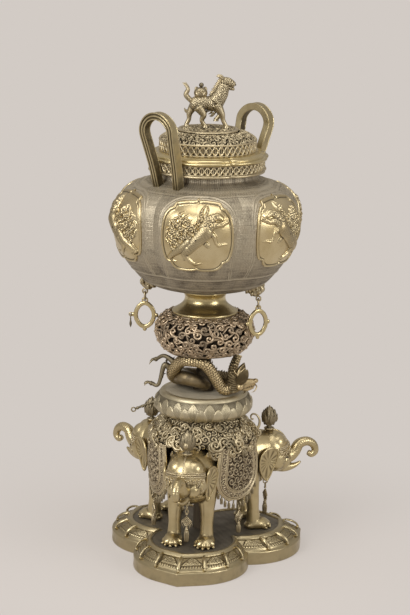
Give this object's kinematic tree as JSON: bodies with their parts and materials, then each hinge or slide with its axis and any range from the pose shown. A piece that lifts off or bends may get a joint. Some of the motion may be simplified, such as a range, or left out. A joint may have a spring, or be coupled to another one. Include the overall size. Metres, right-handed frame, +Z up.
{
  "type": "incense burner",
  "caption": "Bronze incense burner: a lobed bowl with a lift-off lid on a pierced globe, dragon, lotus cushion and standing elephants over a trefoil base.",
  "frame": {"origin": "middle of the underside of the base, on the column axis", "axes": "+Z up along the column; the front elephant faces -Y; +X to its right in the front view"},
  "size_m": [0.423, 0.4252, 0.9423],
  "materials": {
    "polished_bronze": "polished yellow bronze",
    "cast_bronze": "cast, rubbed, darker in the recesses",
    "patina_bronze": "grey-brown patina on fretted ground",
    "gilt_bronze": "worn gilt over cast relief",
    "iron_fastener": "plain iron"
  },
  "bodies": {
    "burner": {"base_bottom_plate": "cast_bronze", "base_platform": "patina_bronze", "base_rim": "polished_bronze", "tie_rod": "iron_fastener", "tie_rod_nut_lower": "iron_fastener", "tie_rod_nut_upper": "iron_fastener", "stem_tube_lower": "patina_bronze", "stem_tube_upper": "patina_bronze", "elephant_front_body": "polished_bronze", "elephant_front_head": "polished_bronze", "headband_front": "gilt_bronze", "jewel_finial_front": "gilt_bronze", "elephant_right_body": "polished_bronze", "elephant_right_head": "polished_bronze", "headband_right": "gilt_bronze", "jewel_finial_right": "gilt_bronze", "elephant_left_body": "polished_bronze", "elephant_left_head": "polished_bronze", "headband_left": "gilt_bronze", "jewel_finial_left": "gilt_bronze", "saddle_cloth_right": "cast_bronze", "saddle_cloth_back": "cast_bronze", "saddle_cloth_left": "cast_bronze", "scroll_collar": "gilt_bronze", "lotus_cushion": "cast_bronze", "dragon_body": "gilt_bronze", "dragon_head": "gilt_bronze", "pierced_globe": "gilt_bronze", "foot_spool": "polished_bronze", "bowl_underside": "patina_bronze", "bowl_body": "patina_bronze", "relief_panel_1": "polished_bronze", "relief_panel_2": "polished_bronze", "relief_panel_3": "polished_bronze", "relief_panel_4": "polished_bronze", "relief_panel_5": "polished_bronze", "relief_panel_6": "polished_bronze", "handle_left": "polished_bronze", "handle_right": "polished_bronze", "mask_left": "cast_bronze", "mask_right": "cast_bronze", "rim_gallery": "cast_bronze"},
    "lid": {"lid_flange": "polished_bronze", "lid_spigot": "cast_bronze", "lid_dome": "patina_bronze", "lid_cap_disc": "cast_bronze", "finial_beast": "gilt_bronze", "finial_nut_rear": "iron_fastener", "finial_nut_fore": "iron_fastener"},
    "breast_pendant_front": {"breast_pendant_front": "gilt_bronze"},
    "breast_pendant_right": {"breast_pendant_right": "gilt_bronze"},
    "breast_pendant_left": {"breast_pendant_left": "gilt_bronze"},
    "cloth_pendant_right": {"cloth_pendant_right": "gilt_bronze"},
    "cloth_pendant_back": {"cloth_pendant_back": "gilt_bronze"},
    "cloth_pendant_left": {"cloth_pendant_left": "gilt_bronze"},
    "link_left": {"link_left": "cast_bronze"},
    "ring_left": {"ring_left": "polished_bronze"},
    "link_right": {"link_right": "cast_bronze"},
    "ring_right": {"ring_right": "polished_bronze"},
    "ring_drop_left": {"ring_drop_left": "cast_bronze"}
  },
  "joints": [
    {"name": "lid_lift", "type": "slide", "parent": "burner", "child": "lid", "axis": [0, 0, 1], "range_m": [0, 0.12]},
    {"name": "breast_pendant_front_swing", "type": "hinge", "parent": "burner", "child": "breast_pendant_front", "pos_m": [0, -0.133, 0.1408], "axis": [-1, 0, 0], "range_deg": [-8, 40]},
    {"name": "breast_pendant_right_swing", "type": "hinge", "parent": "burner", "child": "breast_pendant_right", "pos_m": [0.11518, 0.0665, 0.1408], "axis": [0.5, -0.866, 0], "range_deg": [-8, 40]},
    {"name": "breast_pendant_left_swing", "type": "hinge", "parent": "burner", "child": "breast_pendant_left", "pos_m": [-0.11518, 0.0665, 0.1408], "axis": [0.5, 0.866, 0], "range_deg": [-8, 40]},
    {"name": "cloth_pendant_right_swing", "type": "hinge", "parent": "burner", "child": "cloth_pendant_right", "pos_m": [0.08487, -0.049, 0.1249], "axis": [-0.5, -0.866, 0], "range_deg": [-12, 40]},
    {"name": "cloth_pendant_back_swing", "type": "hinge", "parent": "burner", "child": "cloth_pendant_back", "pos_m": [0, 0.098, 0.1249], "axis": [1, 0, 0], "range_deg": [-12, 40]},
    {"name": "cloth_pendant_left_swing", "type": "hinge", "parent": "burner", "child": "cloth_pendant_left", "pos_m": [-0.08487, -0.049, 0.1249], "axis": [-0.5, 0.866, 0], "range_deg": [-12, 40]},
    {"name": "link_left_swing", "type": "hinge", "parent": "burner", "child": "link_left", "pos_m": [-0.11629, -0.01284, 0.52286], "axis": [-0.1097, 0.994, 0], "range_deg": [0, 40]},
    {"name": "ring_left_swing", "type": "hinge", "parent": "link_left", "child": "ring_left", "pos_m": [-0.11629, -0.01284, 0.50966], "axis": [-0.994, -0.1097, 0], "range_deg": [-30, 30]},
    {"name": "link_right_swing", "type": "hinge", "parent": "burner", "child": "link_right", "pos_m": [0.10869, -0.02251, 0.52486], "axis": [0.2639, -0.9646, 0], "range_deg": [0, 18]},
    {"name": "ring_right_swing", "type": "hinge", "parent": "link_right", "child": "ring_right", "pos_m": [0.10869, -0.02251, 0.51166], "axis": [0.7396, 0.673, 0], "range_deg": [-16, 4]},
    {"name": "ring_drop_left_swing", "type": "hinge", "parent": "ring_left", "child": "ring_drop_left", "pos_m": [-0.14383, -0.01588, 0.47546], "axis": [-0.1097, 0.994, 0], "range_deg": [-15, 50]}
  ]
}
